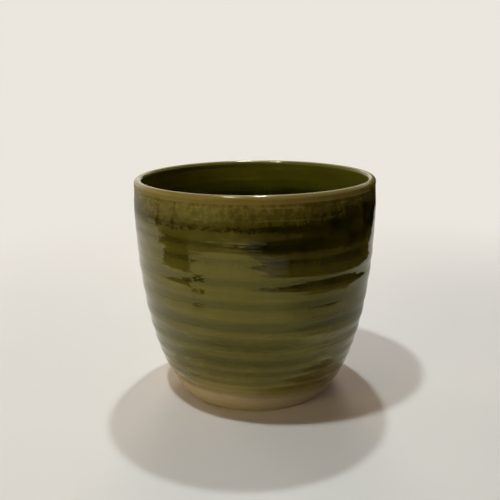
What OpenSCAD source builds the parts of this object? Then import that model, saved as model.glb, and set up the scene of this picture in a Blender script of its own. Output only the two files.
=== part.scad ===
// Handleless cup, thrown on a wheel and glazed.
// The clay body is one revolved wall with a turned foot, and three coats of glaze fit it face to face.
// Millimetres, +Z up. The origin is on the cup's axis, at the level that the foot stands on.

/* [Cup] */
// Height from the table to the top of the lip
cup_h = 83.6; // [74:0.1:96]
// Outside diameter of the clay at the mouth
mouth_d = 91; // [86:0.1:100]
// Outside diameter of the foot, at the corner of its wall and its standing face
foot_d = 60.2; // [54:0.1:66]
// Slope of the wall as it leaves the foot, up from level
flare_angle = 57; // [52:0.5:62]
// How far up that slope pulls the wall
flare_pull = 28.5; // [24:0.5:32]
// How far down the upright mouth pulls the wall
mouth_pull = 10; // [4:0.5:16]

/* [Wall] */
// Thickness of the clay low in the wall
wall_low_t = 5; // [3.5:0.1:6.5]
// Thickness of the clay at the lip
lip_t = 2.4; // [1.8:0.1:3.2]
// Height of the plain upright band under the rounded lip
lip_band_h = 1.4; // [0.8:0.1:2.5]
// Thickness of the clay between the floor and the recess under it
floor_t = 5; // [3.5:0.1:7]
// Diameter of the level middle of the floor
floor_d = 38; // [28:0.5:44]

/* [Throwing rings] */
// Depth of the widest hollow that a finger left on the outside
ring_depth = 0.55; // [0.1:0.05:0.7]
// Depth of the widest hollow on the inside
inner_ring_depth = 0.3; // [0.1:0.05:0.5]

/* [Foot] */
// Width of the foot ring at its standing face, corner to corner
foot_ring_w = 5; // [4:0.1:7]
// Depth of the recess turned under the cup
recess_h = 2.2; // [1.2:0.1:3.5]
// Slope of the recess's side, up from level
recess_angle = 60; // [45:1:80]
// Radius of the rounded edges of the foot ring
foot_edge_r = 1.3; // [0.6:0.1:1.6]

/* [Glaze] */
// Thickness of the outer coat on the crests of the rings
glaze_t = 0.4; // [0.2:0.05:0.6]
// Thickness of the coat over the lip, where all coats meet
lip_glaze_t = 0.25; // [0.15:0.05:0.4]
// Height over which the coats thin towards the lip
thinning_h = 8; // [4:0.5:14]
// Height of the bare clay above the table, on the axis of the tilt
bare_h = 7; // [5:0.1:14]
// Tilt at which the cup went into the glaze
dip_tilt = 4; // [0:0.5:5]
// Way in which the glaze line falls, round from +X towards +Y
dip_turn = 45; // [-180:5:180]
// Thickness of the inner coat on the wall
liner_t = 0.35; // [0.2:0.05:0.5]
// How much thicker the inner coat lies where it pooled on the floor
pool_t = 0.5; // [0.1:0.05:1]

/* [Hidden] */

$fn = 120;
wall_steps = 120;
corner_steps = 16;
edge_steps = 6;
lip_steps = 16;

// Heights of the ring hollows, as shares of the wall below the lip band
hollow_shares = [0.14, 0.18, 0.23, 0.29, 0.37, 0.465, 0.565, 0.665, 0.76, 0.825, 0.905, 0.955, 1];
// Share of a ring hollow that the outer coat fills
fill_share = 0.4;
// Share of the wall curve where the inside turns into the floor
corner_share = 0.2;
// Share of its height and width that pulls the curve of that turn
corner_pull_share = 0.55;
// Largest edge radius, as a share of the recess's depth
edge_limit_share = 0.6;

// Colours of the fired clay, the outer and the inner coat, and the thin coat on the lip
clay_colour = [0.66, 0.56, 0.42];
glaze_colour = [0.36, 0.38, 0.17];
liner_colour = [0.27, 0.31, 0.12];
lip_colour = [0.50, 0.40, 0.18];

mouth_r = mouth_d / 2;
lip_r = lip_t / 2;
lip_centre = [mouth_r - lip_r, cup_h - lip_glaze_t - lip_r];
band_z = lip_centre.y - lip_band_h;
floor_z = recess_h + floor_t;
hollow_z = hollow_shares * band_z;
hollow_gaps = [for (i = [1 : len(hollow_z) - 1]) hollow_z[i] - hollow_z[i - 1]];

function along(angle) = [cos(angle), sin(angle)];
function unit(v) = v / norm(v);
function right_of(v) = [v.y, -v.x];
function last(points) = points[len(points) - 1];
function reversed(points) = [for (i = [len(points) - 1 : -1 : 0]) points[i]];

// Rises smoothly from 0 to 1 as s does, and stays level outside
function ease(s) = let (c = min(max(s, 0), 1)) c * c * (3 - 2 * c);

// A point of the cubic curve from a to d, pulled towards b and c, and its direction there
function curve_point(a, b, c, d, t) =
    pow(1 - t, 3) * a + 3 * pow(1 - t, 2) * t * b + 3 * (1 - t) * t * t * c + pow(t, 3) * d;
function curve_way(a, b, c, d, t) =
    unit(pow(1 - t, 2) * (b - a) + 2 * (1 - t) * t * (c - b) + t * t * (d - c));

// The arc of radius r that rounds the corner b between a and c
function rounded(a, b, c, r) =
    let (u = unit(a - b), v = unit(c - b), half = acos(u * v) / 2)
    let (centre = b + unit(u + v) * r / sin(half))
    let (start = b + u * r / tan(half) - centre, end = b + v * r / tan(half) - centre)
    let (from = atan2(start.y, start.x), turn = atan2(start.x * end.y - start.y * end.x, start * end))
    [for (i = [0 : edge_steps]) centre + r * along(from + turn * i / edge_steps)];

// How high a throwing ring stands above its hollows at a height on the wall, from 0 to 1
function ring_rise(z) =
    let (found = [for (i = [0 : len(hollow_gaps) - 1]) if (z >= hollow_z[i] && z < hollow_z[i + 1]) i])
    len(found) == 0 ? 0 :
        let (i = found[0], turn = 360 * (z - hollow_z[i]) / hollow_gaps[i])
        (1 - cos(turn)) / 2 * hollow_gaps[i] / max(hollow_gaps);

// How far a coat is from its thin edge at the lip band, from 0 to 1
function full_coat(z) = ease((band_z - z) / thinning_h);

// The underside: the recess, its slope and the foot ring, from the axis to the wall
recess_corner = [foot_d / 2 - foot_ring_w, 0];
recess_top = recess_corner + along(180 - recess_angle) * recess_h / sin(recess_angle);
foot_corner = [foot_d / 2, 0];
flare_way = along(flare_angle);
edge_r = min(foot_edge_r, recess_h * edge_limit_share);
underside = concat(
    [[0, recess_h]],
    rounded([0, recess_h], recess_top, recess_corner, edge_r),
    rounded(recess_top, recess_corner, foot_corner, edge_r),
    rounded(recess_corner, foot_corner, foot_corner + flare_way, edge_r));

// The wall curve through the bottoms of the outer hollows, from the foot to the lip band
wall_a = last(underside);
wall_b = wall_a + flare_way * flare_pull;
wall_d = [mouth_r, band_z];
wall_c = wall_d - [0, mouth_pull];
function wall_point(t) = curve_point(wall_a, wall_b, wall_c, wall_d, t);
function wall_way(t) = curve_way(wall_a, wall_b, wall_c, wall_d, t);

// The clay's outer face with its rings, and the face of the coat on it
outer_clay = [for (i = [1 : wall_steps])
    let (p = wall_point(i / wall_steps))
    p + [ring_depth * ring_rise(p.y), 0]];
function outer_coat_t(z) =
    lip_glaze_t + full_coat(z) * (glaze_t - lip_glaze_t + fill_share * ring_depth * (1 - ring_rise(z)));
outer_face = [for (p = outer_clay) p + [outer_coat_t(p.y), 0]];

// The clay's inner face: down the wall, round the corner and across the floor
function inside_point(t) =
    let (p = wall_point(t) - right_of(wall_way(t)) * (wall_low_t + (lip_t - wall_low_t) * t))
    p + [inner_ring_depth * ring_rise(p.y), 0];
inner_wall = [for (i = [wall_steps : -1 : corner_share * wall_steps + 1]) inside_point(i / wall_steps)];
corner_a = inside_point(corner_share);
corner_way = wall_way(corner_share);
corner_b = corner_a - corner_way * corner_pull_share * (corner_a.y - floor_z) / corner_way.y;
corner_d = [floor_d / 2, floor_z];
corner_c = corner_d + [corner_pull_share * (corner_a.x - corner_d.x), 0];
floor_corner = [for (i = [0 : corner_steps])
    curve_point(corner_a, corner_b, corner_c, corner_d, i / corner_steps)];
inner_clay = concat(inner_wall, floor_corner, [[0, floor_z]]);

// The face of the inner coat, square to the clay, with its pool on the floor
function inner_coat_t(z) =
    lip_glaze_t + full_coat(z) * (liner_t - lip_glaze_t)
    + pool_t * ease((corner_a.y - z) / (corner_a.y - floor_z));
inner_face = concat(
    [inner_clay[0] - [lip_glaze_t, 0]],
    [for (i = [1 : len(inner_clay) - 2])
        let (p = inner_clay[i], way = unit(inner_clay[i + 1] - inner_clay[i - 1]))
        p + right_of(way) * inner_coat_t(p.y)],
    [last(inner_clay) + [0, inner_coat_t(floor_z)]]);

// The half round of the lip at a distance from the clay, from the outside in
function lip_round(distance) =
    [for (i = [0 : lip_steps]) lip_centre + (lip_r + distance) * along(180 * i / lip_steps)];

// The thrown clay, from its recessed foot to its rounded lip
module clay_body() {
    color(clay_colour) rotate_extrude()
        polygon(concat(underside, outer_clay, lip_round(0), inner_clay));
}

// The coat outside, which ends above the foot in a level line that the tilt of the dip leans over
module outer_glaze() {
    color(glaze_colour) difference() {
        rotate_extrude() polygon(concat(outer_clay, reversed(outer_face)));
        translate([0, 0, bare_h]) rotate([0, dip_tilt, dip_turn])
            translate([-mouth_d, -mouth_d, -cup_h]) cube([2 * mouth_d, 2 * mouth_d, cup_h]);
    }
}

// The coat inside, poured in and out again, down from the lip band and across the floor
module inner_glaze() {
    color(liner_colour) rotate_extrude() polygon(concat(inner_clay, reversed(inner_face)));
}

// The thin coat over the lip, which joins the other two at the foot of the lip band
module lip_glaze() {
    color(lip_colour) rotate_extrude() polygon(concat(
        [last(outer_face)], lip_round(lip_glaze_t), [inner_face[0], inner_clay[0]],
        reversed(lip_round(0)), [last(outer_clay)]));
}

clay_body();
outer_glaze();
inner_glaze();
lip_glaze();
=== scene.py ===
"""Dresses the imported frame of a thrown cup: ringed clay, three coats of glaze and a plain stage."""

import math

import bpy
import numpy as np
from bpy.props import FloatProperty, FloatVectorProperty, IntProperty, PointerProperty
from mathutils import Matrix, Vector


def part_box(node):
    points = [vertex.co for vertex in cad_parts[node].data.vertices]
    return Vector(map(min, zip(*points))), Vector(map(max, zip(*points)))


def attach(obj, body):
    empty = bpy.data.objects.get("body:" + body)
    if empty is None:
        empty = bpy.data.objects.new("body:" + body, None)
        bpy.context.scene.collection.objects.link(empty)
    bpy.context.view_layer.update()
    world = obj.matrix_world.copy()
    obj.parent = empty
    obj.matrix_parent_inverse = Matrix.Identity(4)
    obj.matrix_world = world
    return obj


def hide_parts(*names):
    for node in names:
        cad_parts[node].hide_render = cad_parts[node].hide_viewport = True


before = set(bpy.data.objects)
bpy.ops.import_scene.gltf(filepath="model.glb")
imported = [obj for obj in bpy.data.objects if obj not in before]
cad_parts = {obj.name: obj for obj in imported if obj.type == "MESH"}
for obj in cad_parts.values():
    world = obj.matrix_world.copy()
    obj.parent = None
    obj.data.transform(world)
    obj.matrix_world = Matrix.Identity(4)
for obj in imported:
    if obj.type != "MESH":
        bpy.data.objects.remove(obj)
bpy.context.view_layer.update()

bl_info = {
    "name": "Thrown Cup",
    "version": (1, 0, 0),
    "blender": (4, 5, 0),
    "location": "3D View > Sidebar > Cup",
    "description": "Throws, turns and glazes a cup without a handle, piece by piece",
    "category": "Add Mesh",
}

MM = 0.001
FULL_TURN = 2 * math.pi

# What the frame says of the cup's size
LIP_LOW, LIP_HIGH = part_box("lip_glaze")
FLOOR_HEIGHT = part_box("inner_glaze")[0].z
LIP_COAT = 0.25 * MM

# Heights of the hollows between the throwing rings, up the front, as shares of the wall below the lip band
RING_HOLLOW_SHARES = (0.14, 0.18, 0.23, 0.29, 0.37, 0.465, 0.565, 0.665, 0.76, 0.825, 0.905, 0.955, 1)
# How the inside turns into the floor: where on the wall curve, and how far each side pulls the turn
CORNER_SHARE = 0.2
CORNER_PULL_SHARE = 0.55

# Steps along the outlines: the clay's hidden faces need fewer than the coats over them
EDGE_STEPS, RECESS_STEPS, LIP_STEPS, BAND_STEPS = 8, 10, 28, 6
CLAY_WALL_STEPS, CLAY_INSIDE_STEPS = 140, 90
COAT_WALL_STEPS, COAT_INSIDE_STEPS = 190, 150
CORNER_STEPS, FLOOR_STEPS = 24, 24

# Size of the slow wandering of the wall
WANDER_SIZE = 22 * MM
# Where the outer glaze starts to curdle on its way up to the lip
CURDLED_HEIGHT = 71 * MM
# Waves round the cup, as (share, count, start): the dip line, and the runs of glaze under the mouth
LINE_WAVES = ((0.22, 2, 0.6), (0.14, 5, 2.1), (0.09, 9, 0.4), (0.05, 17, 1.7))
GLAZE_RUNS = ((0.5, 33, 0.8), (0.35, 51, 2.2), (0.25, 87, 0))

# Depths of glaze between which it turns from thin to middle and from middle to deep
THIN_TO_MIDDLE = (0.25, 0.95)
MIDDLE_TO_DEEP = (0.85, 1.55)

# How far noise is drawn out along x, y and z
EVEN = (1, 1, 1)
UPRIGHT = (1, 1, 0.12)

# Glowing screens round the cup, seen only in its glaze, that paint its reflections of a dim room.
# Outlines are ways round from the front in degrees and distances in millimetres. Two cloths reach from a
# near edge to the walls, and the rest are sheets.
DARK_CLOTH = (
    (-19, 620), (-19, 420), (-17, 330), (-11, 300), (-6, 262), (0, 232), (8, 194), (17, 176), (24, 166),
    (34, 151), (45, 142), (58, 137), (72, 134), (84, 138), (96, 151), (107, 172), (118, 190), (126, 209),
    (132, 240), (137, 280), (142, 323), (148, 390), (156, 500), (170, 700))
HAZY_CLOTH = (
    (-120, 520), (-112, 430), (-100, 380), (-86, 300), (-70, 298), (-56, 300), (-30, 305), (-19, 312))
POSTS = (((-97, 335), (-93, 335)), ((-78, 330), (-74, 330)))
DIM_SHEET = (
    (-93, 305), (-93, 262), (-84, 250), (-72, 212), (-56, 206), (-40, 234), (-22, 240), (-8, 242),
    (-2, 250), (-8, 305), (-19, 330), (-37, 322), (-56, 312), (-70, 306))
BLACK_SHEETS = (
    ((0, 250), (10, 232), (27, 224), (48, 236), (52, 300), (30, 330), (8, 320)),
    ((66, 300), (92, 300), (95, 400), (70, 420)),
    ((112, 290), (136, 290), (150, 420), (155, 900), (130, 900), (112, 900)),
)
MAT = (
    (-91, 300), (-90, 262), (-84, 242), (-85, 222), (-87, 208), (-90, 200), (-80, 190), (-66, 170),
    (-58, 158), (-54, 165), (-57, 190), (-60, 240), (-62, 300), (-74, 302))
PAPER = (
    (-6, 255), (3, 242), (8, 232), (12, 207), (20, 201), (29, 197), (24, 176), (16, 170), (8, 182),
    (0, 200), (-8, 236))
COASTER = (-48, 144)
CLOTH_REACH = 1.1
WALL_HEIGHT = 0.42
TABLE_RADIUS = 5
FILM_RADIUS, CEILING_RADIUS, CEILING_HEIGHT = 1.6, 3.0, 1.5
COASTER_HOLE, COASTER_RADIUS = 6 * MM, 16 * MM

# The darkest and the lightest glow of each screen that paints a reflection in the glaze
DARK_TONES = ((0.004, 0.003, 0.0005), (0.07, 0.05, 0.006))
BLACK_TONES = ((0.001, 0.001, 0.001), (0.02, 0.016, 0.004))
DIM_TONES = ((0.18, 0.165, 0.09), (0.34, 0.31, 0.18))
GREY_TONES = ((0.20, 0.20, 0.38), (0.30, 0.30, 0.50))
OLIVE_TONES = ((0.13, 0.12, 0.03), (0.24, 0.22, 0.07))
CEILING_TONES = ((0.26, 0.25, 0.21), (0.34, 0.32, 0.27))
HAZY_LEFT, HAZY_MIDDLE = (0.50, 0.47, 0.36), (0.10, 0.085, 0.035)

# The lamps: name, place and width in metres, where the stage keeps the power, colour, and whether the
# glaze mirrors it. They face a point on the cup's axis.
LAMPS = (
    ("Back lamp", (0.029, 0.262, 0.817), 0.038, "back_lamp", (0.85, 0.95, 1), True),
    ("Front lamp", (-0.188, -0.116, 0.854), 0.050, "front_lamp", (0.90, 0.97, 1), True),
    ("Low back fill", (0, 1.18, 0.21), 0.5, "back_fill", (1, 0.84, 0.70), False),
    ("Back left fill", (-0.84, 0.84, 0.21), 0.5, "back_left_fill", (1, 0.82, 0.80), False),
    ("Left fill", (-0.90, -0.74, 0.21), 0.6, "left_fill", (1, 0.80, 0.36), False),
    ("Right fill", (0.94, -0.40, 0.64), 0.5, "right_fill", (1, 0.70, 0.50), False),
)
LAMP_AIM = Vector((0, 0, 40 * MM))
SENSOR_WIDTH, NEAREST_SEEN, FARTHEST_SEEN = 36, 0.01, 20
AMBIENT_COLOUR = (1, 0.72, 0.70)


# The kinds of property that the settings use

def a_length(name, description, default):
    return FloatProperty(name=name, description=description, default=default, unit="LENGTH")


def an_angle(name, description, degrees):
    return FloatProperty(
        name=name, description=description, default=math.radians(degrees), subtype="ANGLE")


def a_power(name, description, default):
    return FloatProperty(name=name, description=description, default=default, unit="POWER")


def a_colour(name, description, default):
    return FloatVectorProperty(name=name, description=description, default=default, subtype="COLOR")


class CupShape(bpy.types.PropertyGroup):
    """The sizes of the thrown clay and of the glaze on it."""

    height: a_length("Height", "From the table to the top of the lip", LIP_HIGH.z)
    mouth_radius: a_length("Mouth radius", "Outside radius of the clay at the mouth", LIP_HIGH.x - LIP_COAT)
    foot_radius: a_length(
        "Foot radius", "Outside radius of the foot at the corner of its standing face", 30.1 * MM)
    flare_angle: an_angle("Flare angle", "Slope of the wall as it leaves the foot, up from level", 57)
    flare_pull: a_length("Flare pull", "How far up that slope pulls the wall", 28.5 * MM)
    mouth_pull: a_length("Mouth pull", "How far down the upright mouth pulls the wall", 10 * MM)
    band_height: a_length(
        "Band height", "Height of the line where the coats meet under the rounded lip", LIP_LOW.z)
    wall_low: a_length("Wall, low", "Thickness of the clay low in the wall", 5 * MM)
    lip: a_length("Lip", "Thickness of the clay at the lip", 2.4 * MM)
    floor_height: a_length("Floor height", "Height of the clay floor above the table", FLOOR_HEIGHT)
    floor_radius: a_length("Floor radius", "Radius of the level middle of the floor", 19 * MM)
    foot_ring: a_length("Foot ring", "Width of the foot ring at its standing face", 5 * MM)
    recess: a_length("Recess", "Depth of the recess turned under the cup", 2.2 * MM)
    recess_angle: an_angle("Recess angle", "Slope of the recess's side, up from level", 60)
    foot_edge: a_length("Foot edge", "Radius of the rounded edges of the foot ring", 1.3 * MM)
    ring_depth: a_length(
        "Ring depth", "Depth of the widest hollow that a finger left on the outside", 0.55 * MM)
    inner_ring_depth: a_length("Inner ring depth", "Depth of the widest hollow on the inside", 0.3 * MM)
    unevenness: a_length("Unevenness", "How far the hand let the wall wander", 0.16 * MM)
    turns: IntProperty(
        name="Steps round", description="Steps in which an outline is spun round the axis", default=240)


class CupGlaze(bpy.types.PropertyGroup):
    """The thickness of the coats, and the colours of clay and glaze."""

    outer: a_length("Outer coat", "Thickness of the outer coat on the crests of the rings", 0.4 * MM)
    lip: a_length("Lip coat", "Thickness of the coat over the lip", LIP_COAT)
    inner: a_length("Inner coat", "Thickness of the inner coat on the wall", 0.35 * MM)
    pool: a_length("Pool", "How much thicker the inner coat lies on the floor", 0.5 * MM)
    thinning: a_length("Thinning", "Height over which the coats thin towards the lip", 8 * MM)
    fill: FloatProperty(
        name="Fill", description="Share of a ring hollow that the outer coat fills",
        default=0.4, subtype="FACTOR")
    bare: a_length("Bare clay", "Height of the bare clay above the table, on the axis of the tilt", 7 * MM)
    tilt: an_angle("Tilt", "Tilt at which the cup went into the glaze", 4)
    tilt_way: an_angle("Tilt way", "Way in which the glaze line falls, from the right towards the back", 45)
    thin_colour: a_colour(
        "Thin glaze", "Colour where the glaze lies thin over the clay", (0.190, 0.145, 0.040))
    middle_colour: a_colour("Glaze", "Colour of the glaze at its usual thickness", (0.070, 0.060, 0.009))
    deep_colour: a_colour("Deep glaze", "Colour where the glaze lies thick", (0.0115, 0.010, 0.0006))
    liner_colour: a_colour("Liner", "Colour of the inner coat at its usual thickness", (0.082, 0.083, 0.006))
    amber_colour: a_colour(
        "Amber", "Colour of the thin coat on the outside of the lip", (0.19, 0.138, 0.033))
    break_colour: a_colour("Break", "Colour where the glaze breaks thin over the rim", (0.30, 0.25, 0.11))
    clay_colour: a_colour("Clay", "Colour of the fired clay", (0.43, 0.355, 0.215))


class CupStage(bpy.types.PropertyGroup):
    """The table, the lamps and the camera."""

    table_colour: a_colour("Table", "Colour of the table", (0.71, 0.69, 0.65))
    far_colour: a_colour("Backdrop", "Colour of the far table and of all beyond it", (0.83, 0.79, 0.73))
    ambient: FloatProperty(
        name="Ambient", description="Strength of the light from all round", default=0.09)
    back_lamp: a_power("Back lamp", "Power of the lamp above and behind the cup", 2.54)
    front_lamp: a_power("Front lamp", "Power of the lamp above the cup's front left", 3.08)
    back_fill: a_power("Back fill", "Power of the wide soft lamp low behind the cup", 11.5)
    back_left_fill: a_power("Back left fill", "Power of the wide soft lamp low behind the cup's left", 5.5)
    left_fill: a_power("Left fill", "Power of the wide soft lamp low on the left", 5.0)
    right_fill: a_power("Right fill", "Power of the wide soft lamp on the right", 0.5)
    camera_distance: a_length("Camera distance", "Distance of the camera in front of the axis", 256.4 * MM)
    camera_height: a_length("Camera height", "Height of the camera above the table", 121.6 * MM)
    camera_pitch: an_angle("Camera pitch", "How far the camera looks down", 14.785)
    camera_yaw: an_angle("Camera yaw", "How far the camera is turned to the right", -0.459)
    camera_roll: an_angle("Camera roll", "How far the camera leans", -0.579)
    camera_lens: FloatProperty(
        name="Lens", description="Focal length on a sensor 36 mm wide, in millimetres", default=48.45)


# Outlines, as (radius, height) vectors

def along(angle):
    return Vector((math.cos(angle), math.sin(angle)))


def right_of(way):
    return Vector((way.y, -way.x))


def eased(values, none, full):
    """Goes smoothly from 0 to 1 as values go from none to full, either way, and is level outside."""
    share = np.clip((values - none) / (full - none), 0, 1)
    return share * share * (3 - 2 * share)


def curve_point(a, b, c, d, share):
    rest = 1 - share
    return rest ** 3 * a + 3 * rest ** 2 * share * b + 3 * rest * share ** 2 * c + share ** 3 * d


def curve_way(a, b, c, d, share):
    rest = 1 - share
    return (rest ** 2 * (b - a) + 2 * rest * share * (c - b) + share ** 2 * (d - c)).normalized()


def rounded(before, corner, after, radius):
    """The arc that rounds a corner between the points before and after it."""
    u, v = (before - corner).normalized(), (after - corner).normalized()
    half = u.angle(v) / 2
    centre = corner + (u + v).normalized() * radius / math.sin(half)
    start = corner + u * radius / math.tan(half) - centre
    end = corner + v * radius / math.tan(half) - centre
    first = math.atan2(start.y, start.x)
    turn = math.atan2(start.x * end.y - start.y * end.x, start.dot(end))
    return [centre + radius * along(first + turn * i / EDGE_STEPS) for i in range(EDGE_STEPS + 1)]


def underside_outline(shape):
    """From the axis across the recess and round the foot ring to the start of the wall."""
    middle = Vector((0, shape.recess))
    inner = Vector((shape.foot_radius - shape.foot_ring, 0))
    top = inner + along(math.pi - shape.recess_angle) * shape.recess / math.sin(shape.recess_angle)
    outer = Vector((shape.foot_radius, 0))
    flare = outer + along(shape.flare_angle)
    outline = [middle.lerp(top, i / RECESS_STEPS) for i in range(RECESS_STEPS)]
    corners = (middle, top, inner, outer, flare)
    for before, corner, after in zip(corners, corners[1:], corners[2:]):
        outline += rounded(before, corner, after, shape.foot_edge)
    return outline


def wall_pulls(shape):
    """The four points that pull the wall curve, from the foot to the lip band."""
    foot = underside_outline(shape)[-1]
    band = Vector((shape.mouth_radius, shape.band_height))
    flare = foot + along(shape.flare_angle) * shape.flare_pull
    return foot, flare, band - Vector((0, shape.mouth_pull)), band


def full_coat(shape, glaze, height):
    """How far a coat is from its thin edge at the lip band, from 0 to 1."""
    return eased(height, shape.band_height, shape.band_height - glaze.thinning)


def coat_thickness(shape, glaze, height, rise):
    """Thickness of the outer coat, which lies thicker in the hollows than on the rings."""
    extra = glaze.outer - glaze.lip + glaze.fill * shape.ring_depth * (1 - rise)
    return glaze.lip + full_coat(shape, glaze, height) * extra


def inside_outline(shape, steps):
    """The inner face of the clay, and the height where its wall starts to turn into the floor."""
    pulls = wall_pulls(shape)

    def inside_point(share):
        thickness = shape.wall_low + (shape.lip - shape.wall_low) * share
        return curve_point(*pulls, share) - right_of(curve_way(*pulls, share)) * thickness

    wall = [inside_point(1 - (1 - CORNER_SHARE) * i / steps) for i in range(steps)]
    a, way = inside_point(CORNER_SHARE), curve_way(*pulls, CORNER_SHARE)
    b = a - way * CORNER_PULL_SHARE * (a.y - shape.floor_height) / way.y
    d = Vector((shape.floor_radius, shape.floor_height))
    c = d + Vector((CORNER_PULL_SHARE * (a.x - d.x), 0))
    corner = [curve_point(a, b, c, d, i / CORNER_STEPS) for i in range(CORNER_STEPS + 1)]
    middle = Vector((0, d.y))
    floor = [d * (1 - i / FLOOR_STEPS) + middle * i / FLOOR_STEPS for i in range(1, FLOOR_STEPS + 1)]
    return wall + corner + floor, a.y


def inside_clay(shape):
    """From the lip band down the inner wall, round the corner and across the floor to the axis."""
    return inside_outline(shape, CLAY_INSIDE_STEPS)[0]


def inside_coat(shape, glaze):
    """The face of the inner coat, square to the clay, with its pool on the floor."""
    clay, corner_top = inside_outline(shape, COAT_INSIDE_STEPS)

    def thickness(height):
        pooled = glaze.pool * eased(height, corner_top, shape.floor_height)
        return glaze.lip + full_coat(shape, glaze, height) * (glaze.inner - glaze.lip) + pooled

    face = [clay[0] - Vector((glaze.lip, 0))]
    for before, here, after in zip(clay, clay[1:], clay[2:]):
        face.append(here + right_of((after - before).normalized()) * thickness(here.y))
    return face + [clay[-1] + Vector((0, thickness(shape.floor_height)))]


def wall_outline(shape, steps):
    """From the foot up the wall to the lip band, through the bottoms of the ring hollows."""
    pulls = wall_pulls(shape)
    return [curve_point(*pulls, i / steps) for i in range(1, steps + 1)]


def lip_outline(shape, glaze, coat):
    """Over the rounded lip, from the outside in, at a distance from the clay."""
    radius = shape.lip / 2
    centre = Vector((shape.mouth_radius - radius, shape.height - glaze.lip - radius))
    return [centre + (radius + coat) * along(math.pi * i / LIP_STEPS) for i in range(LIP_STEPS + 1)]


# The throwing rings

def ring_hollows(shape):
    """Heights of the hollows up the front."""
    return np.array(RING_HOLLOW_SHARES) * shape.band_height


def ring_turns(shape, angles, heights):
    """How far the climbing ring has turned, in radians: a whole turn at each hollow."""
    hollows = ring_hollows(shape)
    return np.interp(heights, hollows, np.arange(len(hollows))) * FULL_TURN + angles


def ring_wave(shape, angles, heights):
    """The climbing ring as a wave from 0 in its hollows to 1 on its crest, at angles from the front."""
    broad_share, fine_share = 0.10, 0.06
    broad_climb, fine_climb = 90, 150
    lag = 1.1
    foot_share = 0.09
    turns = ring_turns(shape, angles, heights)
    swell = 0.5 - 0.5 * np.cos(turns)
    broad = broad_share * np.sin(2 * turns + lag) * np.sin(angles + heights * broad_climb)
    fine = fine_share * np.sin(3 * turns + heights * fine_climb)
    band = shape.band_height
    start = foot_share * band
    ends = eased(heights, start, start + 4 * MM) * eased(heights, band, band - 5 * MM)
    return np.clip(swell + broad + fine, 0, 1) * ends


def ring_rise(shape, angles, heights):
    """How high the ring stands above its hollows, as a share of the ring depth: calmer at the mouth."""
    low_relief, middle_calm, upper_calm = 0.85, 0.35, 0.36
    pressed_share, pressed_way = 0.3, math.radians(45)
    hollows = ring_hollows(shape)
    gaps = np.diff(hollows)
    width = np.interp(heights, (hollows[1:] + hollows[:-1]) / 2, gaps / gaps.max())
    relief = (low_relief - middle_calm * eased(heights, 32 * MM, 42 * MM)
              - upper_calm * eased(heights, 52 * MM, 60 * MM))
    pressed = pressed_share * eased(np.cos(angles - pressed_way), 0.5, 1)
    pressed = pressed * eased(heights, 46 * MM, 49 * MM) * eased(heights, 59 * MM, 54 * MM)
    return ring_wave(shape, angles, heights) * width * (relief + pressed)


def wander(shape, heights):
    """Where the wall may wander: not at the foot, and not where the coats meet under the lip."""
    band = shape.band_height
    return eased(heights, 1 * MM, 7 * MM) * eased(heights, band, band - 4 * MM)


# The dip line, and how deep the glaze lies

def waves_round(angles, waves):
    """Waves round the cup, added up."""
    return sum(share * np.sin(count * angles + start) for share, count, start in waves)


def dip_normal(glaze):
    """The way up from the level that the glaze reached, as it lay on the tilted cup."""
    lean = math.tan(glaze.tilt)
    return Vector((lean * math.cos(glaze.tilt_way), lean * math.sin(glaze.tilt_way), 1)).normalized()


def height_over_dip(glaze, points):
    """Heights of points above the tilted level that the glaze reached."""
    return (points - np.array((0, 0, glaze.bare))) @ np.array(dip_normal(glaze))


def thick_and_shaded_side(angles):
    """1 on the cup's right and 0 on its left. There the glaze is drawn deeper and darker, partly as glaze
    that ran thick as the cup was turned up, and partly as painted shade of the side away from the lamps.
    """
    thick_way = math.radians(85)
    return eased(np.cos(angles - thick_way), -0.05, 0.9)


def thick_and_shaded_depth(angles, heights):
    """How much deeper, and so darker, the glaze is drawn under the mouth on the front right and the right:
    partly glaze that ran together there, partly painted shade.
    """
    front_way = math.radians(55)
    front_extra, side_extra, runs_extra, thinned_share = 0.45, 0.6, 0.2, 0.7
    front = eased(np.cos(angles - front_way), 0.3, 0.9)
    low = eased(heights, 62.5 * MM, 65.5 * MM) * eased(heights, 70 * MM, 67 * MM)
    high = eased(heights, 66 * MM, 69 * MM) * (1 - thinned_share * eased(heights, 73 * MM, 79 * MM))
    runs = waves_round(angles, GLAZE_RUNS) * eased(heights, 60 * MM, 68 * MM)
    return front_extra * front * low + thick_and_shaded_side(angles) * (side_extra * high + runs_extra * runs)


def outer_depth(shape, glaze, piece):
    """How deep the outer coat lies: less on the rings, and thinnest at the lip and along the dip line."""
    usual, crest_power = 1.15, 1.7
    ring_contrast, upper_calm, mouth_calm = 0.44, 0.10, 0.24
    dark_hollow, dark_extra, dark_width = 5, 0.3, 0.2
    lip_share, worn_share, worn_way, worn_width, side_share = 0.62, 0.12, 0.08, 0.3, 0.2
    foot_thinned, line_share = 0.42, 0.12
    points, angles, _ = corners_of(piece)
    heights = points[:, 2]
    above = height_over_dip(glaze, points)
    crests = 1 - (1 - ring_wave(shape, angles, heights)) ** crest_power
    contrast = (ring_contrast - upper_calm * eased(heights, 50 * MM, 58 * MM)
                - mouth_calm * eased(heights, 73 * MM, 77 * MM))
    depth = usual - contrast * (crests - 0.5)
    from_hollow = ring_turns(shape, angles, heights) / FULL_TURN - dark_hollow
    depth = depth + dark_extra * np.exp(-(from_hollow / dark_width) ** 2)
    # Deeper and darker under the mouth on the right: partly thicker glaze, partly painted shade.
    depth = depth + thick_and_shaded_depth(angles, heights)
    # Less thinning towards the lip on the cup's right keeps it darker there: partly painted shade.
    thinnest = (lip_share - worn_share * np.exp(-((angles - worn_way) / worn_width) ** 2)
                + side_share * thick_and_shaded_side(angles))
    depth = depth * (thinnest + (1 - thinnest) * full_coat(shape, glaze, heights))
    depth = depth * (1 - foot_thinned * eased(above, 15 * MM, 0))
    return depth * (line_share + (1 - line_share) * eased(above, 0, 3.8 * MM))


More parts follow.
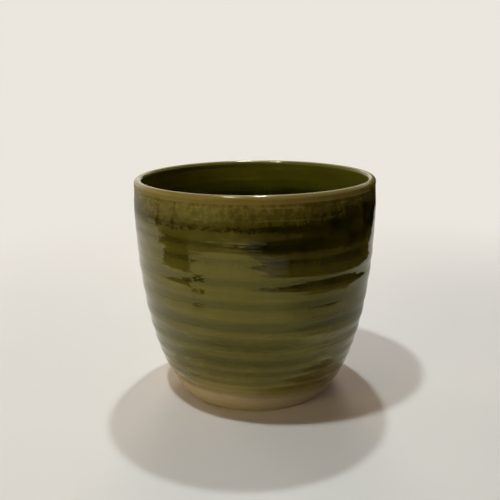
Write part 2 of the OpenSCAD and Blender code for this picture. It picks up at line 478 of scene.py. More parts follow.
def liner_depth(shape, glaze, piece):
    """How deep the inner coat is drawn: less on the rings and at the lip, and darker below the top band of
    the inside and on the floor.
    """
    usual, ring_contrast, lip_share, low_extra, pool_extra = 1.08, 0.2, 0.55, 0.42, 0.2
    points, angles, radii = corners_of(piece)
    heights = points[:, 2]
    depth = usual - ring_contrast * ring_wave(shape, angles, heights)
    depth = depth * (lip_share + (1 - lip_share) * full_coat(shape, glaze, heights))
    # Drawn darker all below the top band of the inside.
    depth = depth + low_extra * eased(heights, 77 * MM, 65 * MM)
    return depth + pool_extra * eased(radii, 30 * MM, 0)


def lip_depth(shape, piece):
    """How deep the lip's coat lies: thinnest over the rim, and like the liner on the inside."""
    over_rim, outside_extra, side_extra, inside_extra = 0.3, 0.62, 0.25, 1.3
    _, angles, radii = corners_of(piece)
    inward = (shape.mouth_radius - radii) / shape.lip
    # The outside of the lip is drawn deeper and darker on the cup's right: partly painted shade.
    outside = (outside_extra + side_extra * thick_and_shaded_side(angles)) * eased(inward, 0.4, 0.1)
    return over_rim + outside + inside_extra * eased(inward, 0.75, 1)


# Modelling

def corners_of(piece):
    """The piece's corner points, their angles round from the front and their distances from the axis."""
    points = np.empty(len(piece.data.vertices) * 3)
    piece.data.vertices.foreach_get("co", points)
    points = points.reshape(-1, 3)
    return points, np.arctan2(points[:, 0], -points[:, 1]), np.hypot(points[:, 0], points[:, 1])


def weigh(piece, name, weights):
    """A vertex group that holds a weight from 0 to 1 for every corner point."""
    group = piece.vertex_groups.new(name=name)
    for index, weight in enumerate(np.clip(weights, 0, 1)):
        group.add((index,), float(weight), "REPLACE")


def draw_line(name, points):
    """Draws a line of edges from one point, pulled along the others, and stays in edit mode."""
    bpy.ops.object.select_all(action="DESELECT")
    bpy.ops.mesh.primitive_plane_add(size=MM, location=points[0])
    piece = bpy.context.object
    piece.name = piece.data.name = name
    bpy.ops.object.transform_apply(location=True, rotation=True, scale=True)
    bpy.ops.object.mode_set(mode="EDIT")
    bpy.ops.mesh.select_mode(type="VERT")
    bpy.ops.mesh.select_all(action="SELECT")
    bpy.ops.mesh.merge(type="CENTER")
    for here, there in zip(points, points[1:]):
        bpy.ops.mesh.extrude_vertices_move(TRANSFORM_OT_translate={"value": there - here})
    return piece


def spin_outline(name, shape, outline, faces_inside=False):
    """Spins an outline round the axis, closes its seam and its poles, and turns its faces."""
    piece = draw_line(name, [Vector((0, -point.x, point.y)) for point in outline])
    bpy.ops.mesh.select_all(action="SELECT")
    bpy.ops.mesh.spin(steps=shape.turns, angle=FULL_TURN, center=(0, 0, 0), axis=(0, 0, 1))
    bpy.ops.mesh.select_all(action="SELECT")
    bpy.ops.mesh.remove_doubles(threshold=0.01 * MM)
    bpy.ops.mesh.normals_make_consistent(inside=faces_inside)
    bpy.ops.object.mode_set(mode="OBJECT")
    return piece


def use_modifier(piece, kind, **settings):
    """Adds a modifier to the active piece and applies it."""
    bpy.ops.object.modifier_add(type=kind)
    modifier = piece.modifiers[-1]
    for name, value in settings.items():
        setattr(modifier, name, value)
    bpy.ops.object.modifier_apply(modifier=modifier.name)


def push_out(piece, group, depth, direction="NORMAL"):
    """Pushes the surface out by the group's weights, along its normals or straight up."""
    use_modifier(piece, "DISPLACE", vertex_group=group, strength=depth, mid_level=0, direction=direction)


def make_uneven(piece, group, depth):
    """Lets the surface wander softly, by one cloud texture for all the pieces."""
    name = "Uneven wall"
    clouds = bpy.data.textures.get(name) or bpy.data.textures.new(name, "CLOUDS")
    clouds.noise_scale = WANDER_SIZE
    use_modifier(piece, "DISPLACE", texture=clouds, texture_coords="LOCAL", vertex_group=group,
                 strength=depth, mid_level=0.5, direction="NORMAL")


def thicken(piece, thickness, **settings):
    """Gives a sheet its thickness towards the clay."""
    use_modifier(piece, "SOLIDIFY", thickness=thickness, offset=-1, use_quality_normals=True, **settings)


def cut_at_dip(glaze):
    """Cuts the sheet a little above the tilted dip line, which leaves room for the rolled edge."""
    edge_room, weld_distance = 1.1 * MM, 0.12 * MM
    bpy.ops.object.mode_set(mode="EDIT")
    bpy.ops.mesh.select_all(action="SELECT")
    bpy.ops.mesh.bisect(
        plane_co=(0, 0, glaze.bare + edge_room), plane_no=dip_normal(glaze), clear_inner=True)
    bpy.ops.mesh.select_all(action="SELECT")
    bpy.ops.mesh.remove_doubles(threshold=weld_distance)
    bpy.ops.object.mode_set(mode="OBJECT")


def select_line(piece, glaze):
    """Selects the open edge along the dip line, and nothing else."""
    near_line = 5 * MM
    bpy.ops.object.mode_set(mode="EDIT")
    bpy.ops.mesh.select_mode(type="EDGE")
    bpy.ops.mesh.select_all(action="DESELECT")
    bpy.ops.mesh.select_non_manifold(extend=False, use_wire=False, use_boundary=True,
                                     use_multi_face=False, use_non_contiguous=False, use_verts=False)
    bpy.ops.object.mode_set(mode="OBJECT")
    low = height_over_dip(glaze, corners_of(piece)[0]) < near_line
    for edge in piece.data.edges:
        edge.select = edge.select and bool(low[edge.vertices[0]])
    for vertex in piece.data.vertices:
        vertex.select = vertex.select and bool(low[vertex.index])
    bpy.ops.object.mode_set(mode="EDIT")


def roll_edge(piece, shape, glaze, depth):
    """Rolls the open edge in towards the clay, in a quarter round as deep as the coat."""
    line_radius, steps = 34.6 * MM, 5
    select_line(piece, glaze)
    down, inward = -along(shape.flare_angle), -right_of(along(shape.flare_angle))
    arc = [depth * (math.sin(a) * down + (1 - math.cos(a)) * inward)
           for a in (math.pi / 2 * i / steps for i in range(steps + 1))]
    for here, there in zip(arc, arc[1:]):
        step = there - here
        share = 1 + step.x / line_radius
        bpy.ops.mesh.extrude_edges_move(TRANSFORM_OT_translate={"value": (0, 0, step.y)})
        bpy.ops.transform.resize(value=(share, share, 1), center_override=(0, 0, 0))
    bpy.ops.object.mode_set(mode="OBJECT")


def pull_line(piece, angles, above):
    """Lets the dip line sag and climb a little, along the slope of the wall."""
    sag, slope_share = 0.9 * MM, 0.52
    weigh(piece, "line", (0.5 + waves_round(angles, LINE_WAVES)) * eased(above, 6 * MM, 0))
    push_out(piece, "line", -sag, direction="Z")
    push_out(piece, "line", -sag * slope_share)


def record_depth(piece, depths):
    """Keeps the depth of the glaze on every corner point, for its colour."""
    layer = piece.data.attributes.new("glaze_depth", "FLOAT", "POINT")
    layer.data.foreach_set("value", np.asarray(depths, dtype=np.float32))


def finish_piece(piece, material, slot, *nodes):
    """Shades the piece, paints it and lets it stand for its nodes in the frame."""
    bpy.ops.object.shade_smooth_by_angle(angle=math.radians(40))
    piece.data.materials.append(material)
    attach(piece, "root")
    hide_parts(*nodes)


# Materials

class Wire:
    """What comes out of a node. Adding to it, taking from it or multiplying it makes a math node."""

    def __init__(self, socket):
        self.socket = socket
        self.tree = socket.id_data

    def __add__(self, other):
        return calculate("ADD", self, other)

    def __sub__(self, other):
        return calculate("SUBTRACT", self, other)

    def __rsub__(self, other):
        return calculate("SUBTRACT", other, self)

    def __mul__(self, other):
        return calculate("MULTIPLY", self, other)

    def beside(self, output):
        """What comes out of another output of the same node."""
        return Wire(self.socket.node.outputs[output])


def feed(socket, value):
    """Links a wire to the socket, or sets the socket's value."""
    if isinstance(value, Wire):
        value.tree.links.new(value.socket, socket)
    else:
        socket.default_value = value


def node(tree, kind, inputs=None, output=0, **settings):
    """Adds a node, makes its settings, feeds its inputs, and gives the wire from one output."""
    made = tree.nodes.new(kind)
    for name, value in settings.items():
        setattr(made, name, value)
    for name, value in (inputs or {}).items():
        feed(made.inputs[name], value)
    return Wire(made.outputs[output]) if made.outputs else None


def tree_of(values):
    """The node tree that the wires among some values are in."""
    return next(value.tree for value in values if isinstance(value, Wire))


def calculate(operation, *values):
    """The result of a math node."""
    return node(tree_of(values), "ShaderNodeMath", dict(enumerate(values)), operation=operation)


def from_vectors(operation, *vectors, output="Vector"):
    """The result of a vector math node: a vector, or the number that its output Value gives."""
    inputs = dict(enumerate(vectors))
    return node(tree_of(vectors), "ShaderNodeVectorMath", inputs, output, operation=operation)


def part_of(vector, axis):
    return node(vector.tree, "ShaderNodeSeparateXYZ", {"Vector": vector}, axis)


def length_of(vector):
    return from_vectors("LENGTH", vector, output="Value")


def blend_colours(share, first, second):
    """A colour that goes from the first to the second as share goes from 0 to 1."""
    return node(share.tree, "ShaderNodeMix", {0: share, 6: first, 7: second}, 2, data_type="RGBA")


def toned(colour, share=1):
    """A colour made lighter or darker by a share, with its alpha."""
    return (*(Vector(colour) * share), 1)


def ramp(value, low, high):
    """Runs from 0 to 1 smoothly as a value runs from low to high."""
    return node(value.tree, "ShaderNodeMapRange", {"Value": value, "From Min": low, "From Max": high},
                interpolation_type="SMOOTHSTEP")


def noise(place, stretch, size, detail=2.0, roughness=0.5):
    """Noise of a given size in metres, drawn out along the axes by stretch."""
    return node(place.tree, "ShaderNodeTexNoise", {
        "Vector": from_vectors("MULTIPLY", place, stretch), "Scale": 1 / size, "Detail": detail,
        "Roughness": roughness}, "Fac")


def cell_distance(place, spacing):
    """The distance to the middle of the nearest of many scattered cells."""
    return node(place.tree, "ShaderNodeTexVoronoi", {"Vector": place, "Scale": 1 / spacing}, "Distance")


def scattered_spots(place, spacing, chosen_share, core, rim):
    """Round spots in a share of the cells: 1 in their middles, and 0 from their rims on."""
    distance = cell_distance(place, spacing)
    pick = node(place.tree, "ShaderNodeSeparateColor", {"Color": distance.beside("Color")}, "Red")
    return calculate("LESS_THAN", pick, chosen_share) * (1 - ramp(distance, core, rim))


def line_at(height, line_height, core, rim):
    """A level line: 1 at its height, and 0 from its rims on."""
    return 1 - ramp(calculate("ABSOLUTE", height - line_height), core, rim)


def object_place(tree):
    return node(tree, "ShaderNodeTexCoord", output="Object")


def use_group(tree, name, draw, result, **values):
    """Places a node group that materials share, which a function draws when it is first used."""
    group = bpy.data.node_groups.get(name)
    if group is None:
        group = bpy.data.node_groups.new(name, "ShaderNodeTree")
        for socket_name, value in values.items():
            kind = "NodeSocketColor" if isinstance(value, tuple) else "NodeSocketFloat"
            group.interface.new_socket(name=socket_name, in_out="INPUT", socket_type=kind)
        group.interface.new_socket(name=result[0], in_out="OUTPUT", socket_type=result[1])
        given = {socket.name: Wire(socket) for socket in group.nodes.new("NodeGroupInput").outputs}
        feed(group.nodes.new("NodeGroupOutput").inputs[0], draw(object_place(group), given))
    return node(tree, "ShaderNodeGroup", values, node_tree=group)


def throwing_lines(place):
    """Fine lines that climb slowly round the wall, from 0 to 1, plainest low down."""
    climb_slope, round_share, line_gap, calmed = 0.02, 0.035, 1.6 * MM, 0.75
    climb = from_vectors("DOT_PRODUCT", place, (climb_slope, -climb_slope, 1), output="Value")
    upward = node(place.tree, "ShaderNodeCombineXYZ", {"Z": climb})
    round_wall = from_vectors("MULTIPLY", place, (round_share, round_share, 0))
    lines = noise(from_vectors("ADD", upward, round_wall), EVEN, line_gap, detail=2, roughness=0.6)
    return (lines - 0.5) * (1 - ramp(climb, 36 * MM, 56 * MM) * calmed) + 0.5


def curdled_shares(place):
    """Where the glaze curdled near the lip: thick spots and a ragged seam above 0, thin lines below 0."""
    line_heights, line_wobble = (79.4 * MM, 75.3 * MM), 1.8 * MM
    seam_height, seam_wobble = 73.8 * MM, 3 * MM
    spot_strength, line_strength, seam_strength = 2.6, -0.6, 0.9
    height = part_of(place, "Z")
    grain = noise(place, (1, 1, 0.8), 1.4 * MM, detail=3, roughness=0.6)
    wobble = noise(place, (1, 1, 0.3), 11 * MM, detail=2)
    patches = ramp(noise(place, (1, 1, 0.2), 8 * MM, detail=1), 0.46, 0.60)
    wavy = height + wobble * line_wobble
    upper, lower = (
        line_at(wavy, line + line_wobble / 2, core=0.1 * MM, rim=0.4 * MM) for line in line_heights)
    curdled = (grain - 0.56) * spot_strength + calculate("MAXIMUM", upper, lower) * patches * line_strength
    seam = line_at(height + wobble * seam_wobble, seam_height, core=0.2 * MM, rim=1.0 * MM)
    return (curdled * ramp(height, CURDLED_HEIGHT, CURDLED_HEIGHT + 4 * MM)
            + seam * ramp(grain, 0.38, 0.60) * seam_strength)


def draw_glaze_colour(place, given):
    """Colours a glaze by how deep it lies, with clouds, brush-like streaks and specks of iron."""
    iron, iron_share, fine_share = (0.03, 0.018, 0.006), 0.75, 0.18
    patterns = (
        (given["Clouds"], noise(place, (1, 1, 0.7), 16 * MM, detail=3)),
        (given["Streaks"], noise(place, (1, 1, 0.14), 2.0 * MM, detail=3, roughness=0.6)),
        (fine_share, noise(place, (1, 1, 0.6), 0.7 * MM, detail=2)),
        (given["Lines"], throwing_lines(place)),
    )
    depth = given["Depth"]
    for amount, pattern in patterns:
        depth = depth + (pattern - 0.5) * amount
    depth = depth + curdled_shares(place) * given["Curdle"]
    middling = blend_colours(ramp(depth, *THIN_TO_MIDDLE), given["Thin"], given["Middle"])
    colour = blend_colours(ramp(depth, *MIDDLE_TO_DEEP), middling, given["Deep"])
    specks = scattered_spots(place, 2.6 * MM, given["Specks"], core=0.07, rim=0.16)
    return blend_colours(specks * iron_share, colour, toned(iron))


def draw_glaze_skin(place, given):
    """The height of a glaze's skin: soft ripples, finer dimples, throwing lines and a few pinholes."""
    pinhole_depth = 0.5
    ripples = noise(place, (1, 1, 1.6), 6 * MM, detail=1)
    dimples = noise(place, (1, 1, 0.6), 1.5 * MM, detail=2)
    near_lip = ramp(part_of(place, "Z"), CURDLED_HEIGHT, CURDLED_HEIGHT + 5 * MM)
    curdle = noise(place, (1, 1, 0.55), 0.8 * MM, detail=2) * near_lip
    pinholes = 1 - ramp(cell_distance(place, 6 * MM), 0.02, 0.05)
    return (ripples * given["Ripples"] + dimples * given["Dimples"] + curdle * given["Curdle"]
            + throwing_lines(place) * given["Lines"] - pinholes * pinhole_depth)


def new_material(name):
    """A material, and its empty node tree."""
    material = bpy.data.materials.new(name)
    material.use_nodes = True
    material.node_tree.nodes.clear()
    return material, material.node_tree


def show_surface(shader):
    """Lets a shader be what its material shows."""
    node(shader.tree, "ShaderNodeOutputMaterial", {"Surface": shader})


def glaze_material(name, thin, middle, deep, clouds, streaks, specks, lines=0.7, curdle=0.0,
                   roughness=0.045, ior=1.85, tint=(1.0, 0.92, 0.29)):
    """Glossy translucent glaze, whose colour follows the depth kept on the piece."""
    material, tree = new_material(name)
    depth = node(tree, "ShaderNodeAttribute", output="Fac", attribute_name="glaze_depth")
    colour = use_group(
        tree, "Glaze Colour", draw_glaze_colour, ("Color", "NodeSocketColor"), Depth=depth,
        Thin=toned(thin), Middle=toned(middle), Deep=toned(deep), Clouds=clouds, Streaks=streaks,
        Lines=lines, Specks=specks, Curdle=curdle)
    skin = use_group(
        tree, "Glaze Skin", draw_glaze_skin, ("Height", "NodeSocketFloat"),
        Ripples=1.0, Dimples=0.25, Curdle=0.8 * curdle, Lines=1.4)
    bump = node(tree, "ShaderNodeBump", {"Height": skin, "Strength": 0.35, "Distance": 0.25 * MM})
    show_surface(node(tree, "ShaderNodeBsdfPrincipled", {
        "Base Color": colour, "Normal": bump, "Roughness": roughness, "IOR": ior,
        "Specular Tint": toned(tint)}))
    return material


def clay_material(glaze):
    """Bare fired stoneware: matt, grainy, finely turned, and flashed with glaze at the dip line."""
    iron, iron_share, flash_share, line_share = (0.045, 0.026, 0.012), 0.7, 0.8, 0.35
    material, tree = new_material("Bare stoneware")
    place = object_place(tree)
    radius = length_of(from_vectors("MULTIPLY", place, (1, 1, 0)))
    lathe = node(tree, "ShaderNodeCombineXYZ", {"X": radius, "Z": part_of(place, "Z")})
    lines = noise(lathe, EVEN, 0.9 * MM, detail=3)
    grain = noise(place, EVEN, 0.45 * MM, detail=3, roughness=0.65)
    blush = noise(place, EVEN, 14 * MM, detail=2)
    clay = glaze.clay_colour
    warm = blend_colours(blush, toned(clay, 1.08), toned(clay, 0.86))
    toothy = blend_colours(ramp(grain, 0.35, 0.7), warm, toned(clay, 0.78))
    lined = blend_colours(ramp(lines, 0.5, 0.75) * line_share, toothy, toned(clay, 0.6))
    normal = dip_normal(glaze)
    over_line = from_vectors("DOT_PRODUCT", place, normal, output="Value") - normal.z * glaze.bare
    flash = ramp(over_line + blush * (3 * MM), -1.2 * MM, 1.6 * MM) * flash_share
    flashed = blend_colours(flash, lined, toned(glaze.thin_colour))
    specks = scattered_spots(place, 1.7 * MM, 0.16, core=0.06, rim=0.15)
    colour = blend_colours(specks * iron_share, flashed, toned(iron))
    bump = node(tree, "ShaderNodeBump", {
        "Height": lines + grain * 0.5, "Strength": 0.5, "Distance": 0.12 * MM})
    show_surface(node(tree, "ShaderNodeBsdfPrincipled", {
        "Base Color": colour, "Normal": bump, "Roughness": 0.78}))
    return material


# The pieces

def throw_body(shape, glaze):
    """The whole clay body, from the recess under it over the lip to the floor inside it."""
    skin_depth, wall_points = 0.6 * MM, 80
    outline = (underside_outline(shape) + wall_outline(shape, CLAY_WALL_STEPS)
               + lip_outline(shape, glaze, 0) + inside_clay(shape)[1:])
    piece = spin_outline("clay_body_thrown", shape, outline)
    points, angles, radii = corners_of(piece)
    heights = points[:, 2]
    pulls = wall_pulls(shape)
    wall = np.array([curve_point(*pulls, share) for share in np.linspace(0, 1, wall_points)])
    outside = radii > np.interp(heights, wall[:, 1], wall[:, 0]) - skin_depth
    rise = ring_rise(shape, angles, heights)
    weigh(piece, "outer rings", rise * outside)
    weigh(piece, "inner rings", rise * ~outside * (heights > shape.floor_height))
    weigh(piece, "wall", wander(shape, heights) * (heights > pulls[0].y) * outside)
    push_out(piece, "outer rings", shape.ring_depth)
    push_out(piece, "inner rings", -shape.inner_ring_depth)
    make_uneven(piece, "wall", shape.unevenness)
    finish_piece(piece, clay_material(glaze), "bare_clay", "clay_body")


def dip_outside(shape, glaze):
    """The outer coat: a sheet spun, ringed, cut along the dip line, rolled there and thickened."""
    outline = [point + Vector((coat_thickness(shape, glaze, point.y, 0), 0))
               for point in wall_outline(shape, COAT_WALL_STEPS)]
    piece = spin_outline("outer_glaze_coat", shape, outline)
    points, angles, _ = corners_of(piece)
    heights = points[:, 2]
    rise = ring_rise(shape, angles, heights)
    weigh(piece, "rings", rise * (1 - glaze.fill * full_coat(shape, glaze, heights)))
    weigh(piece, "wall", wander(shape, heights))
    push_out(piece, "rings", shape.ring_depth)
    make_uneven(piece, "wall", shape.unevenness)
    cut_at_dip(glaze)
    thickest, edge_share = glaze.outer + glaze.fill * shape.ring_depth, 0.06
    roll_edge(piece, shape, glaze, thickest)
    points, angles, _ = corners_of(piece)
    heights = points[:, 2]
    above = height_over_dip(glaze, points)
    thickness = coat_thickness(shape, glaze, heights, ring_rise(shape, angles, heights))
    rolled = np.clip(edge_share + (1 - edge_share) * (above + thickest) / thickest, edge_share, 1)
    weigh(piece, "thickness", thickness / thickest * rolled)
    pull_line(piece, angles, above)
    thicken(piece, thickest, vertex_group="thickness", thickness_vertex_group=0)
    record_depth(piece, outer_depth(shape, glaze, piece))
    olive = glaze_material(
        "Olive glaze", glaze.thin_colour, glaze.middle_colour, glaze.deep_colour,
        clouds=0.4, streaks=0.22, specks=0.035, curdle=0.45)
    finish_piece(piece, olive, "green_glaze", "outer_glaze")


def line_inside(shape, glaze):
    """The inner coat, with its pool on the floor, thickened towards the clay."""
    piece = spin_outline("inner_glaze_coat", shape, inside_coat(shape, glaze), faces_inside=True)
    points, angles, _ = corners_of(piece)
    weigh(piece, "rings", ring_rise(shape, angles, points[:, 2]))
    push_out(piece, "rings", -shape.inner_ring_depth)
    thicken(piece, glaze.lip)
    record_depth(piece, liner_depth(shape, glaze, piece))
    green = glaze_material(
        "Liner glaze", glaze.middle_colour, glaze.liner_colour, glaze.deep_colour,
        clouds=0.5, streaks=0.2, specks=0.03, roughness=0.08)
    finish_piece(piece, green, "liner_glaze", "inner_glaze")


def coat_lip(shape, glaze):
    """The thin coat over the lip, between the other two."""
    outer_foot = Vector((shape.mouth_radius + glaze.lip, shape.band_height))
    inner_foot = Vector((shape.mouth_radius - shape.lip - glaze.lip, shape.band_height))
    over = lip_outline(shape, glaze, glaze.lip)
    up = [outer_foot.lerp(over[0], i / BAND_STEPS) for i in range(BAND_STEPS)]
    down = [over[-1].lerp(inner_foot, i / BAND_STEPS) for i in range(1, BAND_STEPS + 1)]
    piece = spin_outline("lip_glaze_coat", shape, up + over + down)
    thicken(piece, glaze.lip)
    record_depth(piece, lip_depth(shape, piece))
    amber = glaze_material(
        "Amber glaze", glaze.break_colour, glaze.amber_colour, glaze.liner_colour,
        clouds=0.2, streaks=0.3, specks=0.03, lines=4.0, roughness=0.14, ior=1.5, tint=(1.0, 0.93, 0.6))
    finish_piece(piece, amber, "amber_glaze", "lip_glaze")


# The stage

def seen_rays(tree):
    """1 for a ray from the camera, a mirror or a glass, and 0 for one that carries light."""
    camera = node(tree, "ShaderNodeLightPath", output="Is Camera Ray")
    either = calculate("MAXIMUM", camera, camera.beside("Is Glossy Ray"))
    return calculate("MAXIMUM", either, camera.beside("Is Transmission Ray"))


def table_material(stage):
    """Pale matt table whose far part is a flat pale colour to the camera and in reflections."""
    near_edge, far_edge = 0.10, 0.36
    material, tree = new_material("Pale table")
    place = object_place(tree)
    mottle = noise(place, EVEN, 60 * MM, detail=2)
    colour = blend_colours(mottle, toned(stage.table_colour, 1.015), toned(stage.table_colour, 0.985))
    matt = node(tree, "ShaderNodeBsdfPrincipled", {
        "Base Color": colour, "Roughness": 0.6, "Specular IOR Level": 0.2})
    flat = node(tree, "ShaderNodeEmission", {"Color": toned(stage.far_colour), "Strength": 1})
    far = ramp(length_of(place), near_edge, far_edge) * seen_rays(tree)
    show_surface(node(tree, "ShaderNodeMixShader", {0: far, 1: matt, 2: flat}))
    return material


def set_world(stage):
    """Even warm light from all round, behind the pale backdrop colour."""
    world = bpy.data.worlds.new("Plain surroundings")
    bpy.context.scene.world = world
    world.use_nodes = True
    tree = world.node_tree
    tree.nodes.clear()
    light = node(tree, "ShaderNodeBackground", {"Color": toned(AMBIENT_COLOUR), "Strength": stage.ambient})
    shown = node(tree, "ShaderNodeBackground", {"Color": toned(stage.far_colour), "Strength": 1})
    mix = node(tree, "ShaderNodeMixShader", {0: seen_rays(tree), 1: light, 2: shown})
    node(tree, "ShaderNodeOutputWorld", {"Surface": mix})


def dim_material(name, darkest, lightest):
    """A dim glow, in upright bands of slightly different tones, that paints a reflection in the glaze."""
    material, tree = new_material(name)
    bands = noise(object_place(tree), UPRIGHT, 90 * MM, detail=3)
    colour = blend_colours(ramp(bands, 0.40, 0.66), toned(darkest), toned(lightest))
    show_surface(node(tree, "ShaderNodeEmission", {"Color": colour, "Strength": 1}))
    return material


def hazy_material():
    """A glowing cloth, pale on the far left and dark in the middle, in upright bands: a painted reflection
    in the glaze.
    """
    band_shift, left_end, middle = 0.9, -0.95, -0.05
    material, tree = new_material("Hazy cloth")
    place = object_place(tree)
    bands = noise(place, UPRIGHT, 70 * MM, detail=3)
    across = ramp(part_of(place, "X") + (bands - 0.5) * band_shift, left_end, middle)
    colour = blend_colours(across, toned(HAZY_LEFT), toned(HAZY_MIDDLE))
    show_surface(node(tree, "ShaderNodeEmission", {"Color": colour, "Strength": 1}))
    return material


def smoked_material():
    """A smoked film, clear on the left and near the cup, that dims what is mirrored through it: painted
    shade on the glaze's reflections of the table to the right and far away.
    """
    smoke_share, thinner_share, clearest, darkest = 0.88, 0.45, (1, 1, 1), (0.40, 0.40, 0.40)
    material, tree = new_material("Smoked film")
    place = object_place(tree)
    distance = length_of(place)
    smoke = ramp(part_of(place, "X"), 22 * MM, 80 * MM) * ramp(distance, 56 * MM, 84 * MM) * smoke_share
    thinner = smoke * (1 - ramp(distance, 100 * MM, 150 * MM) * thinner_share)
    share = calculate("MAXIMUM", thinner, ramp(distance, 220 * MM, 420 * MM))
    tint = blend_colours(share, toned(clearest), toned(darkest))
    show_surface(node(tree, "ShaderNodeBsdfTransparent", {"Color": tint}))
    return material


def round_point(turn, distance, height):
    """The point at a way round from the front in degrees, a distance in millimetres and a height."""
    angle = math.radians(turn)
    return Vector((distance * MM * math.sin(angle), -distance * MM * math.cos(angle), height))


def cut_round(corners, radius):
    """A flat round sheet at the world's origin."""
    bpy.ops.object.select_all(action="DESELECT")
    bpy.ops.mesh.primitive_circle_add(
        vertices=corners, radius=radius, fill_type="NGON", location=(0, 0, 0))
    return bpy.context.object


def finish_screen(screen, name, material):
    """Names and paints a screen that shows in reflections and nowhere else."""
    screen.name = screen.data.name = name
    screen.data.materials.append(material)
    screen.visible_camera = screen.visible_diffuse = screen.visible_shadow = False
    screen.visible_transmission = screen.visible_volume_scatter = False


def lay_cloth(name, near_edge, height, material):
    """A cloth from its near edge on the table out to the wall, and up it."""
    cloth = draw_line(name, [round_point(*corner, height) for corner in near_edge])
    bpy.ops.mesh.select_all(action="SELECT")
    bpy.ops.mesh.extrude_edges_move(TRANSFORM_OT_translate={"value": (0, 0, 0)})
    bpy.ops.object.mode_set(mode="OBJECT")
    for vertex in cloth.data.vertices:
        if vertex.select:
            outward = Vector((vertex.co.x, vertex.co.y, 0)).normalized() * CLOTH_REACH
            vertex.co = (outward.x, outward.y, height)
    bpy.ops.object.mode_set(mode="EDIT")
    bpy.ops.mesh.extrude_edges_move(TRANSFORM_OT_translate={"value": (0, 0, WALL_HEIGHT)})
    bpy.ops.object.mode_set(mode="OBJECT")
    finish_screen(cloth, name, material)


def lay_sheet(name, outline, height, material):
    """A flat sheet on the table, of the given outline."""
    sheet = cut_round(corners=len(outline), radius=1)
    for vertex, corner in zip(sheet.data.vertices, outline):
        vertex.co = round_point(*corner, height)
    finish_screen(sheet, name, material)


def lay_round_sheet(name, hole, radius, place, material):
    """A round sheet at a place, with or without a round hole in it."""
    sheet = cut_round(corners=48, radius=radius)
    if hole:
        bpy.ops.object.mode_set(mode="EDIT")
        bpy.ops.mesh.select_all(action="SELECT")
        bpy.ops.mesh.inset(thickness=radius - hole)
        bpy.ops.mesh.delete(type="FACE")
        bpy.ops.object.mode_set(mode="OBJECT")
    sheet.location = place
    bpy.ops.object.transform_apply(location=True, rotation=True, scale=True)
    finish_screen(sheet, name, material)


def lay_surroundings():
    """The dim glowing screens round the cup that its glaze mirrors, painting its reflections, each a little
    above the one before.
    """
    dark = dim_material("Dark cloth", *DARK_TONES)
    black = dim_material("Black sheet", *BLACK_TONES)
    olive = dim_material("Olive mat", *OLIVE_TONES)
    lay_round_sheet("stage_smoked_film", 0, FILM_RADIUS, (0, 0, 0.30 * MM), smoked_material())
    lay_round_sheet("stage_ceiling", 0, CEILING_RADIUS, (0, 0, CEILING_HEIGHT),
                    dim_material("Ceiling", *CEILING_TONES))
    lay_cloth("stage_hazy_cloth", HAZY_CLOTH, 0.50 * MM, hazy_material())
    lay_sheet("stage_dim_sheet", DIM_SHEET, 0.55 * MM, dim_material("Dim sheet", *DIM_TONES))
    lay_cloth("stage_dark_cloth", DARK_CLOTH, 0.60 * MM, dark)
    for index, edge in enumerate(POSTS):
        lay_cloth(f"stage_post_{index + 1}", edge, 0.65 * MM, dark)
    for index, outline in enumerate(BLACK_SHEETS):
        lay_sheet(f"stage_black_sheet_{index + 1}", outline, 0.65 * MM, black)
    lay_sheet("stage_mat", MAT, 0.70 * MM, olive)
    lay_sheet("stage_paper", PAPER, 0.75 * MM, dim_material("Grey paper", *GREY_TONES))
    lay_round_sheet("stage_coaster", COASTER_HOLE, COASTER_RADIUS, round_point(*COASTER, 0.80 * MM), olive)


def hang_lamp(name, place, width, power, colour, mirrored):
    """A round lamp that faces the middle of the cup."""
    data = bpy.data.lights.new(name, "AREA")
    data.shape, data.size, data.energy, data.color = "DISK", width, power, colour
    lamp = bpy.data.objects.new(name, data)
    bpy.context.scene.collection.objects.link(lamp)
    lamp.location = place
    lamp.rotation_euler = (LAMP_AIM - Vector(place)).to_track_quat("-Z", "Y").to_euler()
    lamp.visible_glossy = mirrored
    lamp.visible_camera = False


def set_camera(stage):
    """The camera in the photograph's place."""
    data = bpy.data.cameras.new("Camera")
    data.sensor_width, data.lens = SENSOR_WIDTH, stage.camera_lens
    data.clip_start, data.clip_end = NEAREST_SEEN, FARTHEST_SEEN
    camera = bpy.data.objects.new("Camera", data)
    bpy.context.scene.collection.objects.link(camera)
    pitch, yaw, roll = stage.camera_pitch, stage.camera_yaw, stage.camera_roll
    ahead = Vector((math.sin(yaw) * math.cos(pitch), math.cos(yaw) * math.cos(pitch), -math.sin(pitch)))
    side = Vector((math.cos(yaw), -math.sin(yaw), 0))
    over = side.cross(ahead)
    right = math.cos(roll) * side + math.sin(roll) * over
    up = math.cos(roll) * over - math.sin(roll) * side
    turn = Matrix((right, up, -ahead)).transposed().to_4x4()
    camera.matrix_world = Matrix.Translation((0, -stage.camera_distance, stage.camera_height)) @ turn
    bpy.context.scene.camera = camera


def set_stage(stage):
    """The table, the things that the glaze mirrors, the lamps, the world and the camera."""
    table = cut_round(corners=96, radius=TABLE_RADIUS)
    table.name = "stage_table"
    table.data.materials.append(table_material(stage))
    lay_surroundings()
    for name, place, width, power, colour, mirrored in LAMPS:
        hang_lamp(name, place, width, getattr(stage, power), colour, mirrored)
    set_world(stage)
    set_camera(stage)
    bpy.context.scene.view_settings.view_transform = "Standard"


# The add-on

class CUP_OT_throw_body(bpy.types.Operator):
    """Throw the clay body, ring its wall and turn its foot"""

    bl_idname = "cup.throw_body"
    bl_label = "Throw the clay body"

    def execute(self, context):
        throw_body(context.scene.cup_shape, context.scene.cup_glaze)
        return {"FINISHED"}


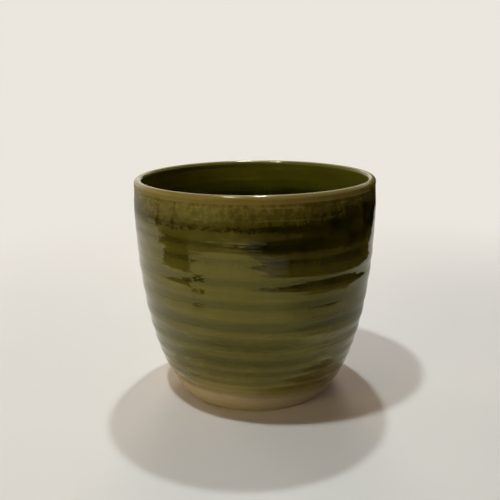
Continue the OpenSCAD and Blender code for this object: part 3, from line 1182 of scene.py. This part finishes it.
class CUP_OT_dip_outside(bpy.types.Operator):
    """Dip the outside into the glaze, down to a tilted line above the foot"""

    bl_idname = "cup.dip_outside"
    bl_label = "Dip the outside"

    def execute(self, context):
        dip_outside(context.scene.cup_shape, context.scene.cup_glaze)
        return {"FINISHED"}


class CUP_OT_line_inside(bpy.types.Operator):
    """Pour glaze into the cup and out again"""

    bl_idname = "cup.line_inside"
    bl_label = "Line the inside"

    def execute(self, context):
        line_inside(context.scene.cup_shape, context.scene.cup_glaze)
        return {"FINISHED"}


class CUP_OT_coat_lip(bpy.types.Operator):
    """Coat the lip thinly, between the outer and the inner coat"""

    bl_idname = "cup.coat_lip"
    bl_label = "Coat the lip"

    def execute(self, context):
        coat_lip(context.scene.cup_shape, context.scene.cup_glaze)
        return {"FINISHED"}


class CUP_OT_set_stage(bpy.types.Operator):
    """Lay the table, hang the lamps and place the camera"""

    bl_idname = "cup.set_stage"
    bl_label = "Set the stage"

    def execute(self, context):
        set_stage(context.scene.cup_stage)
        return {"FINISHED"}


class CUP_PT_workshop(bpy.types.Panel):
    """The steps that make the cup, in their order"""

    bl_label = "Thrown Cup"
    bl_idname = "CUP_PT_workshop"
    bl_space_type = "VIEW_3D"
    bl_region_type = "UI"
    bl_category = "Cup"

    def draw(self, context):
        for step in STEPS:
            self.layout.operator(step.bl_idname)


STEPS = (CUP_OT_throw_body, CUP_OT_dip_outside, CUP_OT_line_inside, CUP_OT_coat_lip, CUP_OT_set_stage)
CLASSES = (CupShape, CupGlaze, CupStage, *STEPS, CUP_PT_workshop)


def register():
    for kind in CLASSES:
        bpy.utils.register_class(kind)
    bpy.types.Scene.cup_shape = PointerProperty(type=CupShape)
    bpy.types.Scene.cup_glaze = PointerProperty(type=CupGlaze)
    bpy.types.Scene.cup_stage = PointerProperty(type=CupStage)


def unregister():
    del bpy.types.Scene.cup_stage
    del bpy.types.Scene.cup_glaze
    del bpy.types.Scene.cup_shape
    for kind in reversed(CLASSES):
        bpy.utils.unregister_class(kind)


def main():
    register()
    bpy.ops.cup.throw_body()
    bpy.ops.cup.dip_outside()
    bpy.ops.cup.line_inside()
    bpy.ops.cup.coat_lip()
    bpy.ops.cup.set_stage()


if __name__ == "__main__":
    main()
